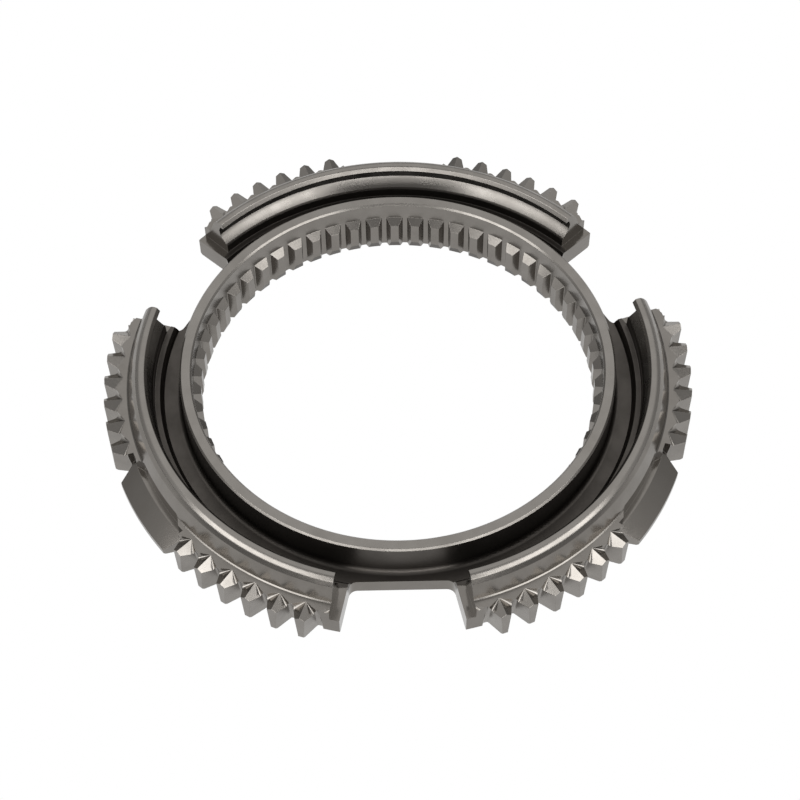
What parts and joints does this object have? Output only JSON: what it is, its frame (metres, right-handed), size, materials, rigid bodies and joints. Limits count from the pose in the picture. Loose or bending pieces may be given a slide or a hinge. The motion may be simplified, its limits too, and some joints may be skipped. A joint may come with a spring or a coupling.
{
  "type": "synchronizer sleeve",
  "caption": "One-piece steel sliding sleeve with an internal spline, a fork groove and bevelled external teeth in groups round a beaded flange.",
  "frame": {"origin": "on the axis, in the plane of the hub face on which the sleeve stands", "axes": "+Z along the axis from the hub face to the ring's top face; one gap faces -Y, the plain pad opposite it faces +Y"},
  "size_m": [0.2048, 0.1997, 0.0245],
  "materials": {
    "machined_steel": "machined, hardened"
  },
  "bodies": {
    "root": {"sleeve_body": "machined_steel"}
  },
  "joints": []
}
